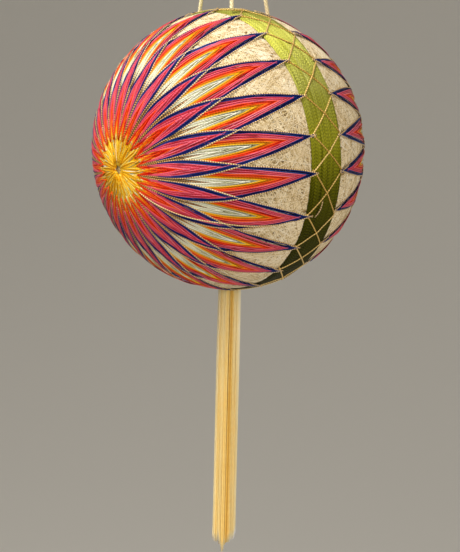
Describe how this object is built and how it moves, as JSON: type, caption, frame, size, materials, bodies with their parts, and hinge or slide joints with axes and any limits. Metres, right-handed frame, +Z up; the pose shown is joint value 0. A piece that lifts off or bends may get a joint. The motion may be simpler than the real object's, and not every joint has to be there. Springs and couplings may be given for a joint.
{
  "type": "temari ball",
  "caption": "Wound thread ball stitched with a chrysanthemum flower on each side, a green belt with a gold lattice, hanging cords tied in a loop, and a straight silk tassel.",
  "frame": {"origin": "the place inside the hanging loop where a hook bears", "axes": "+Z up along the line the ball hangs in, -Y the way the front flower faces"},
  "size_m": [0.1036, 0.0974, 0.2923],
  "materials": {
    "wound_thread": "cream thread with gold flecks, criss-crossed at random",
    "flower_thread": "satin thread in bands of white, yellow, orange, red, rose and navy",
    "belt_thread": "fine olive thread in close parallel turns",
    "gold_thread": "pale metallic gold thread",
    "cord": "pale gold twisted cord",
    "tassel_silk": "straight golden silk"
  },
  "bodies": {
    "root": {"wound_ball": "wound_thread", "kiku_front": "flower_thread", "kiku_back": "flower_thread", "belt": "belt_thread", "belt_thread_a": "gold_thread", "belt_thread_b": "gold_thread", "hang_cord_front": "cord", "hang_cord_right": "cord", "hang_cord_left": "cord", "hang_knot": "cord", "tassel": "tassel_silk"}
  },
  "joints": []
}
